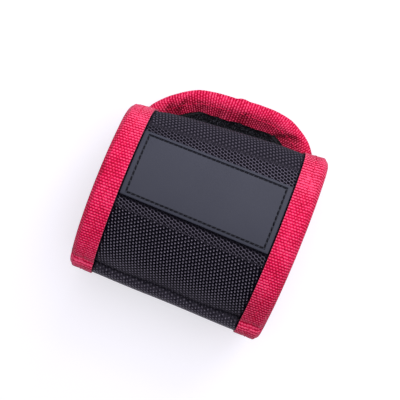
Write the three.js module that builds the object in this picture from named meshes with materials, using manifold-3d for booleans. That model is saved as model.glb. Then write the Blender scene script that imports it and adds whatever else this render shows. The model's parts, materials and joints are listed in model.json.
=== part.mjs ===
// Magnetic wristband, closed as it is worn: a padded band of coated nylon with disc magnets sewn inside,
// bound along both edges with coloured tape, and closed by a round tongue with hook tape on a loop end.
// Millimetres. X runs along the wrist from the hand to the forearm, +Y to the side where the tongue stands
// out, +Z up. The band lies on its back, on the plane Z = 0.

import * as THREE from "three";
import { mergeVertices } from "three/addons/utils/BufferGeometryUtils.js";
import Module from "manifold-3d";

const wasm = await Module();
wasm.setup();

// The loop
const BAND_WIDTH = 90; // along the wrist, over the bindings
const LOOP_WIDTH = 81; // across the closed loop at mid width, over the bindings
const WRIST_ROOM_HEIGHT = 42; // clear height between the loop end and the crown
const FLARE = 0.053; // share by which the forearm edge is wider, and the hand edge narrower, than mid width
const SKEW = 0.035; // how far the loop shifts to the tongue's side for each millimetre towards the forearm
const CROWN_RADIUS = 58;
const UPPER_BEND_RADIUS = 14;
const LOWER_BEND_RADIUS = 12;
const LOOP_END_REACH = 3; // distance from the middle of the back to the free edge of the loop end

// The tongue
const TONGUE_FOLD = 18.5; // distance from the middle of the back to the line where the tongue lifts
const TONGUE_LEAD = 1.5; // between the fold and the place where the tongue's round corners begin
const TONGUE_CORNER_RADIUS = 38.5;
const TONGUE_FLAT = 9.5; // part of the tongue's length that lies flat under the loop end
const TONGUE_CURL_RADIUS = 60;

// The layers
const NYLON = 0.8;
const FOAM = 2.8;
const LINING = 0.8;
const TAPE = 0.8;
const BINDING_WIDTH = 11;
const HEM_WIDTH = 5;
const HOOK_TAPE = 1;
const LOOP_TAPE = 0.7;
const LAYER_GAP = 0.25;
const GRIP_GAP = 0.3; // between the hooks and the loops they hold
const FOLD_GAP = 0.6; // between two stretches of one layer, at a fold
const FOLD_AXIS_LIFT = 0.15; // of a fold's axis over the binding
const TRIM_GAP = 0.4; // beside a piece sewn on between the bindings

// The badge
const BADGE_LENGTH = 28; // around the wrist
const BADGE_OFFSET = 13.3; // from the middle of the crown, to the tongue's side
const BADGE_THICKNESS = 1.4;
const BADGE_CORNER = 1.2;
const SEAM_INSET = 2.6; // of the sewn channel, from the badge's edge to the channel's middle
const SEAM_WIDTH = 1.2;
const SEAM_DEPTH = 0.5;

// The magnets
const MAGNET_DIAMETER = 15;
const MAGNET_THICKNESS = 2;
const MAGNET_CHAMFER = 0.3;
const MAGNET_ROW_PITCH = 22; // along the wrist
const MAGNET_COLUMN_PITCH = 19; // around the wrist
const POCKET_CLEARANCE = 0.3;

// How finely round stretches are divided
const FACET_ANGLE = THREE.MathUtils.degToRad(11);
const CORNER_STEPS = 10;
const BADGE_CORNER_STEPS = 3;
const DISC_SIDES = 24;

// Colours
const FINISH = {
  nylon: { color: 0x1b1b1f, roughness: 0.72, metalness: 0 },
  lining: { color: 0x26262a, roughness: 0.9, metalness: 0 },
  foam: { color: 0x4a4a4e, roughness: 0.95, metalness: 0 },
  binding: { color: 0xd81e46, roughness: 0.7, metalness: 0 },
  hook: { color: 0x121214, roughness: 0.85, metalness: 0 },
  loop: { color: 0x161618, roughness: 1, metalness: 0 },
  rubber: { color: 0x3c3e46, roughness: 0.55, metalness: 0 },
  magnet: { color: 0xb9bcc0, roughness: 0.25, metalness: 1 },
};

// Levels of the layers, measured outwards from the inner face of the nylon
const edgeInset = TAPE + LAYER_GAP; // from the bound edge to the edge of the layers inside
const halfWidth = BAND_WIDTH / 2;
const coreHalf = halfWidth - edgeInset;
const trimHalf = halfWidth - BINDING_WIDTH - TRIM_GAP;
const bindingTop = NYLON + LAYER_GAP + TAPE;
const onNylon = NYLON + LAYER_GAP;
const paddedLining = -LAYER_GAP - FOAM - LAYER_GAP;
const thinLining = -LAYER_GAP;
const hookBase = thinLining - LINING - LAYER_GAP;
const bindingBottom = (lining) => lining - LINING - LAYER_GAP - TAPE;

// Heights of the inner face of the nylon over the ground
const backHeight = bindingTop;
const gripStack = HOOK_TAPE - hookBase + GRIP_GAP + onNylon + LOOP_TAPE;
const bindingStack = -bindingBottom(thinLining) + GRIP_GAP + bindingTop;
const loopEndHeight = backHeight + Math.max(gripStack, bindingStack);
const crownHeight = loopEndHeight + LINING - thinLining + WRIST_ROOM_HEIGHT + LINING - paddedLining;

// The loop's section: two halves, each walked from the middle of the crown to its own end
const loopHalf = LOOP_WIDTH / 2 - bindingTop;
const crownAngle = Math.asin((loopHalf - UPPER_BEND_RADIUS) / (CROWN_RADIUS - UPPER_BEND_RADIUS));
const quarterTurn = Math.PI / 2;
const crownDrop = CROWN_RADIUS * (1 - Math.cos(crownAngle)) + UPPER_BEND_RADIUS * Math.cos(crownAngle);
const wallLength = (endHeight) => crownHeight - crownDrop - LOWER_BEND_RADIUS - endHeight;
const backHalf = loopHalf - LOWER_BEND_RADIUS;

const quarterSteps = (count) => Array.from({ length: count + 1 }, (_, i) => (i / count) * quarterTurn);
const round = (radius, turn) => ({ length: radius * turn, turn });
const straight = (length) => ({ length, turn: 0 });

function halfLoop(endHeight, ...ending) {
  const stretches = {
    crown: round(CROWN_RADIUS, crownAngle),
    upperBend: round(UPPER_BEND_RADIUS, quarterTurn - crownAngle),
    wall: straight(wallLength(endHeight)),
    lowerBend: round(LOWER_BEND_RADIUS, quarterTurn),
  };
  let from = { at: 0, across: 0, drop: 0, heading: 0 };
  const walked = [...Object.values(stretches), ...ending].map((stretch) => {
    const begun = { ...from, ...stretch };
    from = advance(begun, stretch.length);
    return begun;
  });
  return { walked, end: from.at };
}

// The place that is `run` along a stretch
function advance(stretch, run) {
  const bend = stretch.turn / stretch.length;
  const heading = stretch.heading + bend * run;
  const across = bend ? (Math.sin(heading) - Math.sin(stretch.heading)) / bend : run * Math.cos(heading);
  const drop = bend ? (Math.cos(stretch.heading) - Math.cos(heading)) / bend : run * Math.sin(heading);
  return {
    at: stretch.at + run,
    across: stretch.across + across,
    drop: stretch.drop + drop,
    heading,
  };
}

const tongueLength = TONGUE_LEAD + TONGUE_CORNER_RADIUS;
const farHalf = halfLoop(loopEndHeight, straight(backHalf - LOOP_END_REACH));
const nearHalf = halfLoop(
  backHeight,
  straight(backHalf + TONGUE_FOLD),
  straight(TONGUE_FLAT),
  round(TONGUE_CURL_RADIUS, (tongueLength - TONGUE_FLAT) / TONGUE_CURL_RADIUS),
);

// s is the distance round the band from the middle of the crown: positive over the far wall to the loop
// end, negative over the near wall to the tongue.
function sectionAt(s) {
  const half = s < 0 ? nearHalf : farHalf;
  const distance = Math.abs(s);
  const stretch = half.walked.findLast((one) => one.at <= distance);
  const { across, drop, heading } = advance(stretch, distance - stretch.at);
  const side = s < 0 ? -1 : 1;
  return {
    y: side * across,
    z: crownHeight - drop,
    forward: [Math.cos(heading), -side * Math.sin(heading)],
  };
}

// The point of the band that is u along the wrist, s round it and v outwards
function wrap(u, s, v) {
  const { y, z, forward } = sectionAt(s);
  const slope = FLARE / halfWidth;
  const along = new THREE.Vector3(1, y * slope + SKEW, 0);
  const around = new THREE.Vector3(0, forward[0] * (1 + slope * u), forward[1]);
  const outward = along.cross(around).normalize();
  return new THREE.Vector3(u, y * (1 + slope * u) + SKEW * u, z).addScaledVector(outward, v);
}

// The same for a piece that is sewn on square to the bound edges
const wrapSquare = (u, s, v) => wrap(u, s - SKEW * u, v);

function outwardAt(u, s) {
  return wrap(u, s, 1).sub(wrap(u, s, 0));
}

// Every place where a facet begins between two distances round the band, ends included
function stations(from, to) {
  const cuts = [from, to];
  for (const [half, side] of [
    [farHalf, 1],
    [nearHalf, -1],
  ]) {
    for (const stretch of half.walked) {
      const steps = Math.max(1, Math.ceil(stretch.turn / FACET_ANGLE));
      for (let step = 0; step <= steps; step++) {
        cuts.push(side * (stretch.at + (stretch.length * step) / steps));
      }
    }
  }
  const low = Math.min(from, to);
  const high = Math.max(from, to);
  const kept = cuts.filter((s) => s >= low && s <= high).sort((a, b) => a - b);
  return kept.filter((s, i) => i === 0 || s - kept[i - 1] > FOLD_GAP / 10);
}

// Folds, where one stretch of the band can turn against the next
const middleOf = (half, index) => half.walked[index].at + half.walked[index].length / 2;
const fold = {
  farUpper: middleOf(farHalf, 1),
  farLower: middleOf(farHalf, 3),
  nearUpper: -middleOf(nearHalf, 1),
  nearLower: -middleOf(nearHalf, 3),
  tongue: -nearHalf.walked[5].at,
};
const after = (s) => s + FOLD_GAP / 2;
const before = (s) => s - FOLD_GAP / 2;
const farWallMiddle = middleOf(farHalf, 2);
const nearWallMiddle = -middleOf(nearHalf, 2);

// Closed surfaces from rings of points
function closedSurface(points, triangles) {
  const geometry = new THREE.BufferGeometry().setFromPoints(points);
  geometry.setIndex(signedVolume(points, triangles) < 0 ? triangles.reverse() : triangles);
  return geometry;
}

function signedVolume(points, triangles) {
  let six = 0;
  const normal = new THREE.Vector3();
  for (let i = 0; i < triangles.length; i += 3) {
    const [a, b, c] = [0, 1, 2].map((k) => points[triangles[i + k]]);
    six += a.dot(normal.crossVectors(b, c));
  }
  return six / 6;
}

// Rings of equally many points, joined in turn and capped. `outline` is a ring laid flat.
function skin(rings, outline) {
  const count = outline.length;
  const triangles = [];
  for (let ring = 0; ring + 1 < rings.length; ring++) {
    for (let i = 0; i < count; i++) {
      const a = ring * count + i;
      const b = ring * count + ((i + 1) % count);
      triangles.push(a, b, b + count, a, b + count, a + count);
    }
  }
  const flat = outline.map(([x, y]) => new THREE.Vector2(x, y));
  const last = (rings.length - 1) * count;
  for (const face of THREE.ShapeUtils.triangulateShape(flat, [])) {
    const [a, b, c] = THREE.ShapeUtils.isClockWise(flat) ? [...face].reverse() : face;
    triangles.push(a, c, b, last + a, last + b, last + c);
  }
  return closedSurface(rings.flat(), triangles);
}

// A bar of the band between two distances round it, two distances along the wrist and two levels
function bar(from, to, left, right, low, high, lay = wrap) {
  const outline = [
    [left, low],
    [right, low],
    [right, high],
    [left, high],
  ];
  const rings = stations(from, to).map((s) => outline.map(([u, v]) => lay(u, s, v)));
  return skin(rings, outline);
}

// A layer of the band between two distances round it, of a given half width and level
const layer = (from, to, half, low, high) => bar(from, to, -half, half, low, high);

// Half the width of the tongue at a distance s, for an outline that lies `inset` inside the bound edge
function tongueHalf(s, inset) {
  const radius = TONGUE_CORNER_RADIUS - inset;
  const past = Math.max(0, -s - (nearHalf.end - inset - radius));
  const rounded = Math.sqrt(Math.max(0, radius ** 2 - past ** 2));
  return halfWidth - inset - radius + rounded;
}

// A layer of the tongue, from its fold to its round end
function tongueLayer(from, inset, low, high) {
  const radius = TONGUE_CORNER_RADIUS - inset;
  const cornerFrom = nearHalf.end - inset - radius;
  const corner = quarterSteps(CORNER_STEPS).map((angle) => -(cornerFrom + radius * Math.sin(angle)));
  const cuts = stations(from, -cornerFrom - radius).filter((s) => s > -cornerFrom);
  const rings = [...cuts.reverse(), ...corner].map((s) => {
    const half = tongueHalf(s, inset);
    return [wrap(-half, s, low), wrap(half, s, low), wrap(half, s, high), wrap(-half, s, high)];
  });
  const outline = [
    [-1, low],
    [1, low],
    [1, high],
    [-1, high],
  ];
  return skin(rings, outline);
}

// Binding tape folded over an edge: two legs and the web that joins them. `edge` is a row of places on the
// edge, each with the direction that leaves the band.
function bindEdge(edge, width, lining) {
  const top = bindingTop;
  const bottom = bindingBottom(lining);
  const half = width / 2; // a place in each leg where it can bend with the tongue
  const outline = [
    [0, bottom],
    [half, bottom],
    [width, bottom],
    [width, bottom + TAPE],
    [half, bottom + TAPE],
    [TAPE, bottom + TAPE],
    [TAPE, top - TAPE],
    [half, top - TAPE],
    [width, top - TAPE],
    [width, top],
    [half, top],
    [0, top],
  ];
  const rings = edge.map(({ u, s, out }) =>
    outline.map(([inset, v]) => wrap(u - out[0] * inset, s - out[1] * inset, v)),
  );
  return skin(rings, outline);
}

function sideEdge(side, from, to) {
  return stations(from, to).map((s) => ({ u: side * halfWidth, s, out: [side, 0] }));
}

// The bound edge of the tongue: up one side, round both corners and down the other side
function tongueEdge(from) {
  const centre = { u: halfWidth - TONGUE_CORNER_RADIUS, s: TONGUE_CORNER_RADIUS - nearHalf.end };
  const quarter = quarterSteps(CORNER_STEPS).map((angle) => {
    const out = [Math.cos(angle), -Math.sin(angle)];
    return {
      u: centre.u + TONGUE_CORNER_RADIUS * out[0],
      s: centre.s + TONGUE_CORNER_RADIUS * out[1],
      out,
    };
  });
  const forearm = [{ u: halfWidth, s: from, out: [1, 0] }, ...quarter];
  const hand = forearm.map(({ u, s, out }) => ({ u: -u, s, out: [-out[0], out[1]] }));
  return [...forearm, ...hand.reverse()];
}

// Solids for cutting and joining
function solid(geometry) {
  const bare = geometry.clone();
  for (const name of Object.keys(bare.attributes)) {
    if (name !== "position") bare.deleteAttribute(name);
  }
  const merged = mergeVertices(bare, 1e-4);
  return new wasm.Manifold(
    new wasm.Mesh({
      numProp: 3,
      vertProperties: new Float32Array(merged.attributes.position.array),
      triVerts: new Uint32Array(merged.index.array),
    }),
  );
}

function geometryOf(manifold) {
  const { vertProperties, triVerts } = manifold.getMesh();
  const geometry = new THREE.BufferGeometry();
  geometry.setAttribute("position", new THREE.BufferAttribute(vertProperties, 3));
  geometry.setIndex(new THREE.BufferAttribute(triVerts, 1));
  return geometry;
}

const cutAll = (geometry, cutters) =>
  geometryOf(cutters.reduce((body, cutter) => body.subtract(solid(cutter)), solid(geometry)));

// Stretches of the band, each a group of named meshes
const band = new THREE.Group();

function stretch() {
  const group = new THREE.Group();
  band.add(group);
  return group;
}

function add(group, name, geometry, finish) {
  geometry.computeVertexNormals();
  const mesh = new THREE.Mesh(geometry, new THREE.MeshStandardMaterial(FINISH[finish]));
  mesh.name = name;
  group.add(mesh);
  return mesh;
}

function addBindings(group, name, from, to, lining) {
  add(group, `${name}_hand_binding`, bindEdge(sideEdge(-1, from, to), BINDING_WIDTH, lining), "binding");
  add(group, `${name}_forearm_binding`, bindEdge(sideEdge(1, from, to), BINDING_WIDTH, lining), "binding");
}

// A chamfered disc, its axis along Y
function magnetDisc() {
  const radius = MAGNET_DIAMETER / 2;
  const half = MAGNET_THICKNESS / 2;
  const profile = [
    [0, -half],
    [radius - MAGNET_CHAMFER, -half],
    [radius, MAGNET_CHAMFER - half],
    [radius, half - MAGNET_CHAMFER],
    [radius - MAGNET_CHAMFER, half],
    [0, half],
  ];
  return new THREE.LatheGeometry(
    profile.map(([x, y]) => new THREE.Vector2(x, y)),
    DISC_SIDES,
  );
}

const magnetLevel = -LAYER_GAP - FOAM / 2;
const discAxis = new THREE.Vector3(0, 1, 0);
const discTurn = (u, s) => new THREE.Quaternion().setFromUnitVectors(discAxis, outwardAt(u, s));

function pocket([u, s]) {
  const radius = MAGNET_DIAMETER / 2 + POCKET_CLEARANCE;
  const place = wrap(u, s, magnetLevel);
  return new THREE.CylinderGeometry(radius, radius, FOAM * 2, DISC_SIDES)
    .applyQuaternion(discTurn(u, s))
    .translate(place.x, place.y, place.z);
}

// Nylon, foam with a pocket for each magnet, lining and bindings
function addPadded(group, name, from, to, magnets) {
  add(group, `${name}_shell`, layer(from, to, coreHalf, 0, NYLON), "nylon");
  const foam = layer(from, to, coreHalf, -LAYER_GAP - FOAM, -LAYER_GAP);
  add(group, `${name}_foam`, cutAll(foam, magnets.map(pocket)), "foam");
  add(group, `${name}_lining`, layer(from, to, coreHalf, paddedLining - LINING, paddedLining), "lining");
  addBindings(group, name, from, to, paddedLining);
  magnets.forEach(([u, s], i) => {
    const disc = add(group, `${name}_magnet_${i + 1}`, magnetDisc(), "magnet");
    disc.position.copy(wrap(u, s, magnetLevel));
    disc.quaternion.copy(discTurn(u, s));
  });
}

const magnetRows = [-1, 0, 1].map((row) => row * MAGNET_ROW_PITCH);
const magnetColumn = (s) => magnetRows.map((u) => [u, s]);

// Magnet panel over the back of the wrist
const panel = stretch();
const panelMagnets = [-1, 0, 1].flatMap((column) => magnetColumn(column * MAGNET_COLUMN_PITCH));
addPadded(panel, "panel", after(fold.nearUpper), before(fold.farUpper), panelMagnets);

// Rubber badge with a sewn channel all round
function badge() {
  const from = BADGE_OFFSET - BADGE_LENGTH / 2;
  const to = BADGE_OFFSET + BADGE_LENGTH / 2;
  const top = onNylon + BADGE_THICKNESS;
  const corner = quarterSteps(BADGE_CORNER_STEPS).map((angle) => ({
    past: BADGE_CORNER * (1 - Math.cos(angle)),
    narrowed: BADGE_CORNER * (1 - Math.sin(angle)),
  }));
  const flush = stations(from + BADGE_CORNER + LAYER_GAP, to - BADGE_CORNER - LAYER_GAP);
  const places = [
    ...corner.map(({ past, narrowed }) => [from + past, narrowed]),
    ...flush.map((s) => [s, 0]),
    ...corner.reverse().map(({ past, narrowed }) => [to - past, narrowed]),
  ];
  const rings = places.map(([s, narrowed]) => {
    const half = trimHalf - narrowed;
    return [
      wrapSquare(-half, s, onNylon),
      wrapSquare(half, s, onNylon),
      wrapSquare(half, s, top),
      wrapSquare(-half, s, top),
    ];
  });
  const plate = skin(rings, [
    [-1, 0],
    [1, 0],
    [1, 1],
    [-1, 1],
  ]);
  return cutAll(plate, badgeChannel(from, to, top));
}

// The four sides of the sewn channel
function badgeChannel(from, to, top) {
  const half = SEAM_WIDTH / 2;
  const near = from + SEAM_INSET;
  const far = to - SEAM_INSET;
  const middle = trimHalf - SEAM_INSET;
  const low = top - SEAM_DEPTH;
  const high = top + SEAM_DEPTH;
  const end = middle + half;
  const along = [near, far].map((s) => bar(s - half, s + half, -end, end, low, high, wrapSquare));
  const around = [-middle, middle].map((u) => bar(near, far, u - half, u + half, low, high, wrapSquare));
  return [...along, ...around];
}

add(panel, "badge", badge(), "rubber");

// Walls of the loop, with a column of magnets each
const nearWall = stretch();
addPadded(nearWall, "near_wall", after(fold.nearLower), before(fold.nearUpper), magnetColumn(nearWallMiddle));
const farWall = stretch();
addPadded(farWall, "far_wall", after(fold.farUpper), before(fold.farLower), magnetColumn(farWallMiddle));

// Thin stretches: nylon and lining, without foam
function addThin(group, name, from, to, coreFrom, coreTo) {
  add(group, `${name}_shell`, layer(coreFrom, coreTo, coreHalf, 0, NYLON), "nylon");
  add(group, `${name}_lining`, layer(coreFrom, coreTo, coreHalf, thinLining - LINING, thinLining), "lining");
  addBindings(group, name, from, to, thinLining);
}

// Back strap under the loop end, with hook tape on its inner face
const backStrap = stretch();
const backFrom = after(fold.tongue);
const backTo = before(fold.nearLower);
addThin(backStrap, "back_strap", backFrom, backTo, backFrom, backTo);
const hookTo = fold.tongue + TONGUE_FOLD - LOOP_END_REACH;
add(backStrap, "back_hook_tape", layer(backFrom, hookTo, trimHalf, hookBase - HOOK_TAPE, hookBase), "hook");

// Tongue, round at its end
const tongue = stretch();
const tongueFrom = before(fold.tongue);
const tongueTrim = BINDING_WIDTH + TRIM_GAP;
add(tongue, "tongue_shell", tongueLayer(tongueFrom, edgeInset, 0, NYLON), "nylon");
add(tongue, "tongue_lining", tongueLayer(tongueFrom, edgeInset, thinLining - LINING, thinLining), "lining");
add(tongue, "tongue_hook_tape", tongueLayer(tongueFrom, tongueTrim, hookBase - HOOK_TAPE, hookBase), "hook");
add(tongue, "tongue_binding", bindEdge(tongueEdge(tongueFrom), BINDING_WIDTH, thinLining), "binding");

// Loop end inside the back strap, with loop tape on its outer face and a hem on its free edge
const loopEnd = stretch();
const loopFrom = after(fold.farLower);
addThin(loopEnd, "loop_end", loopFrom, farHalf.end, loopFrom, farHalf.end - edgeInset);
const loopTo = farHalf.end - HEM_WIDTH - TRIM_GAP;
add(loopEnd, "loop_tape", layer(loopFrom, loopTo, trimHalf, onNylon, onNylon + LOOP_TAPE), "loop");
const hemEdge = [-trimHalf, trimHalf].map((u) => ({ u, s: farHalf.end, out: [0, 1] }));
add(loopEnd, "loop_end_hem", bindEdge(hemEdge, HEM_WIDTH, thinLining), "binding");

// The frame: the origin is under the middle of the band, on the plane it lies on
const box = new THREE.Box3().setFromObject(band, true);
const middle = box.getCenter(new THREE.Vector3());
band.position.set(-middle.x, -middle.y, -box.min.z);

// Where each fold's axis runs
band.userData.folds = Object.fromEntries(
  Object.entries(fold).map(([name, s]) => {
    const level = bindingTop + FOLD_AXIS_LIFT;
    const place = wrap(0, s, level).add(band.position);
    const direction = wrap(1, s, level).sub(wrap(-1, s, level)).normalize();
    return [name, { place: place.toArray(), direction: direction.toArray() }];
  }),
);

export default band;
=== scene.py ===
# %% [markdown]
# # A magnetic wristband
#
# The band is one long sewn strip: coated nylon outside, spacer mesh inside, foam and disc magnets between
# them, and coloured tape folded over both edges. The CAD model holds the sizes, the six bodies and the five
# folds. This lesson dresses it. Every cloth piece is cut flat, as a sewer cuts it, and then wrapped round the
# wrist by one function, so the layers keep their distances and a pattern keeps its true scale.

# %% Load the frame
import json
import math
from functools import lru_cache

import bmesh
import bpy
from mathutils import Matrix, Vector, noise

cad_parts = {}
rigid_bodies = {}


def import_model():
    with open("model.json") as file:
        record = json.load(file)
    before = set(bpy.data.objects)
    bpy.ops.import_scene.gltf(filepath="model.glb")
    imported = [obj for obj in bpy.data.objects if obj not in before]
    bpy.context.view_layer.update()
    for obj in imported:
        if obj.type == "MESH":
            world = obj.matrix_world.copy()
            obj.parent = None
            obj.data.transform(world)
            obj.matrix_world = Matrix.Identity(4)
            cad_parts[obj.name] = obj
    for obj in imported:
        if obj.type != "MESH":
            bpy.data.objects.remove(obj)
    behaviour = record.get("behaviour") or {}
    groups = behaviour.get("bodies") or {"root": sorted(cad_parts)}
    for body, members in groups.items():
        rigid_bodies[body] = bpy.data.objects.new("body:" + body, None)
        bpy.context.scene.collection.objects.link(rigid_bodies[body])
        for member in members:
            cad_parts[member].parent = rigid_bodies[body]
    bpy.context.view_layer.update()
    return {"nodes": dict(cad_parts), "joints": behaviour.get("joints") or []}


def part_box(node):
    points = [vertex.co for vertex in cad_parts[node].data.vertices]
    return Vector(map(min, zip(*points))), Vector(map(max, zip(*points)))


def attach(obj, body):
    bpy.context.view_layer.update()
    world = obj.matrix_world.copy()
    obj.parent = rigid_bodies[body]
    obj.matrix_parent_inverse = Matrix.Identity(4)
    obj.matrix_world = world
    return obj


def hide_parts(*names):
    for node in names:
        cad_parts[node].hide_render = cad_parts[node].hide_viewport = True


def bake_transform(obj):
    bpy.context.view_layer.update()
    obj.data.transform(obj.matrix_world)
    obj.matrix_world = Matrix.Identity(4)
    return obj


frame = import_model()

# %% [markdown]
# ## Sizes
#
# These are the sizes the strip was cut and bent to, in metres. Heights and the place of the origin are read
# from the frame, so they can't drift away from the solids.

# %% Sizes of the strip and the loop
MM = 0.001
BAND_WIDTH = 90 * MM
LOOP_WIDTH = 81 * MM
FLARE = 0.053
SKEW = 0.035
CROWN_RADIUS = 58 * MM
UPPER_BEND_RADIUS = 14 * MM
LOWER_BEND_RADIUS = 12 * MM
LOOP_END_REACH = 3 * MM
TONGUE_FOLD = 18.5 * MM
TONGUE_LEAD = 1.5 * MM
TONGUE_CORNER_RADIUS = 38.5 * MM
TONGUE_FLAT = 9.5 * MM
TONGUE_CURL_RADIUS = 60 * MM
STRAP_SPLIT = 4 * MM

NYLON = 0.8 * MM
FOAM = 2.8 * MM
LINING = 0.8 * MM
TAPE = 0.8 * MM
BINDING_WIDTH = 11 * MM
LAYER_GAP = 0.25 * MM

half_width = BAND_WIDTH / 2
binding_top = NYLON + LAYER_GAP + TAPE
loop_half = LOOP_WIDTH / 2 - binding_top
slope = FLARE / half_width

tongue_hinge = next(joint["pos_m"] for joint in frame["joints"] if joint["name"] == "tongue_peel")
middle_x, middle_y = tongue_hinge[0], tongue_hinge[1] - TONGUE_FOLD
crown_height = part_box("panel_shell")[1].z - NYLON
back_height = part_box("back_strap_shell")[0].z + NYLON
loop_end_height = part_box("loop_end_shell")[0].z + NYLON
heights = {"crown": crown_height, "loop end": loop_end_height, "back": back_height}
print("heights, mm:", {name: round(height / MM, 1) for name, height in heights.items()})

# %% [markdown]
# ## One function that bends the strip
#
# The loop's section is a chain of straight and round stretches. A point of the strip is given by u along the
# wrist, s round it from the middle of the crown, and v outwards from the inner face of the nylon. Bending the
# flat cut by a function beats modelling in place: each piece stays a plain grid until the last moment.

# %% The section of the loop
quarter = math.pi / 2
crown_angle = math.asin((loop_half - UPPER_BEND_RADIUS) / (CROWN_RADIUS - UPPER_BEND_RADIUS))
crown_drop = CROWN_RADIUS * (1 - math.cos(crown_angle)) + UPPER_BEND_RADIUS * math.cos(crown_angle)
back_half = loop_half - LOWER_BEND_RADIUS
tongue_length = TONGUE_LEAD + TONGUE_CORNER_RADIUS


def advance(stretch, run):
    """Distance, place and heading at a run along a stretch of the section."""
    at, across, drop, heading, length, turn = stretch
    curvature = turn / length
    ahead = heading + curvature * run
    if curvature:
        across += (math.sin(ahead) - math.sin(heading)) / curvature
        drop += (math.cos(heading) - math.cos(ahead)) / curvature
    else:
        across += run * math.cos(heading)
        drop += run * math.sin(heading)
    return at + run, across, drop, ahead


def half_loop(end_height, *ending):
    """The stretches of one half of the section, from the middle of the crown to its end."""
    wall = crown_height - crown_drop - LOWER_BEND_RADIUS - end_height
    stretches = [
        (CROWN_RADIUS * crown_angle, crown_angle),
        (UPPER_BEND_RADIUS * (quarter - crown_angle), quarter - crown_angle),
        (wall, 0),
        (LOWER_BEND_RADIUS * quarter, quarter),
        *ending,
    ]
    walked, here = [], (0.0, 0.0, 0.0, 0.0)
    for length, turn in stretches:
        walked.append((*here, length, turn))
        here = advance(walked[-1], length)
    return walked, here[0]


far_half, far_end = half_loop(loop_end_height, (back_half - LOOP_END_REACH, 0))
curl = tongue_length - TONGUE_FLAT
near_half, near_end = half_loop(
    back_height, (back_half + TONGUE_FOLD, 0), (TONGUE_FLAT, 0), (curl, curl / TONGUE_CURL_RADIUS)
)
UPPER, WALL, LOWER, BACK, TONGUE = range(1, 6)


@lru_cache(maxsize=None)
def section_at(s):
    """Place and direction of the section at a distance round the band, in its own plane."""
    walked = near_half if s < 0 else far_half
    side = -1 if s < 0 else 1
    stretch = [one for one in walked if one[0] <= abs(s)][-1]
    _, across, drop, heading = advance(stretch, abs(s) - stretch[0])
    return side * across, crown_height - drop, math.cos(heading), -side * math.sin(heading)


def place(u, s, v):
    """The point of the bent strip that is u along the wrist, s round it and v outwards."""
    y, z, forward_y, forward_z = section_at(round(s, 7))
    spread = 1 + slope * u
    outward = Vector(((y * slope + SKEW) * forward_z, -forward_z, forward_y * spread)).normalized()
    return Vector((middle_x + u, middle_y + y * spread + SKEW * u, z)) + outward * v


def begin(half, index):
    """Distance where a stretch of one half begins, positive on the far half and negative on the near one."""
    return half[index][0] if half is far_half else -half[index][0]


def bend(half, index):
    """Where a bend of one half begins and ends."""
    return begin(half, index), begin(half, index + 1)


near_split = (begin(near_half, WALL) + begin(near_half, LOWER)) / 2
far_split = (begin(far_half, WALL) + begin(far_half, LOWER)) / 2
tongue_fold = begin(near_half, TONGUE)
back_split = tongue_fold + TONGUE_FOLD + STRAP_SPLIT
print(f"strip: {(near_end + far_end) / MM:.0f} mm long, folds at both walls and the tongue")

# %% [markdown]
# ## Camera, floor and light
#
# The camera stands nearly straight above the band and is rolled, so the loop's axis runs down to the right.
# It is close enough for the crown, which is nearer, to look wider than the walls. The floor is white and
# turns up into a backdrop. Only camera, glossy and transmission rays see its extra white, so the band's
# shadow stays and the floor throws no more light on the band for it.

# %% Camera
CAMERA_DISTANCE = 360 * MM
CAMERA_ROLL = math.radians(21.79)
CAMERA_TILT = math.radians(4.47)
CAMERA_PAN = math.radians(0.52)
AIM = Vector((-1.44, -1.27, 35)) * MM
IMAGE_SIDE = 400
FOCAL_PIXELS = 823
SENSOR_MM = 36

camera_data = bpy.data.cameras.new("camera")
camera_data.sensor_width = SENSOR_MM
camera_data.lens = FOCAL_PIXELS / IMAGE_SIDE * SENSOR_MM
camera = bpy.data.objects.new("camera", camera_data)
bpy.context.scene.collection.objects.link(camera)
bpy.context.scene.camera = camera

back = Vector(
    (
        math.sin(CAMERA_PAN),
        math.sin(CAMERA_TILT) * math.cos(CAMERA_PAN),
        math.cos(CAMERA_TILT) * math.cos(CAMERA_PAN),
    )
)
level_right = Vector((0, 1, 0)).cross(back).normalized()
level_up = back.cross(level_right)
right = level_right * math.cos(CAMERA_ROLL) + level_up * math.sin(CAMERA_ROLL)
up = back.cross(right)
turn = Matrix((right, up, back)).transposed().to_4x4()
camera.matrix_world = Matrix.Translation(AIM + back * CAMERA_DISTANCE) @ turn
print(f"camera {CAMERA_DISTANCE / MM:.0f} mm away, lens {camera_data.lens:.0f} mm")

# %% [markdown]
# ## Shader sums as Python
#
# A weave is a sum of waves, so its nodes are mostly arithmetic. This class wraps a socket: an expression on
# values adds the Math nodes, and every other node comes from one method.


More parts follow.
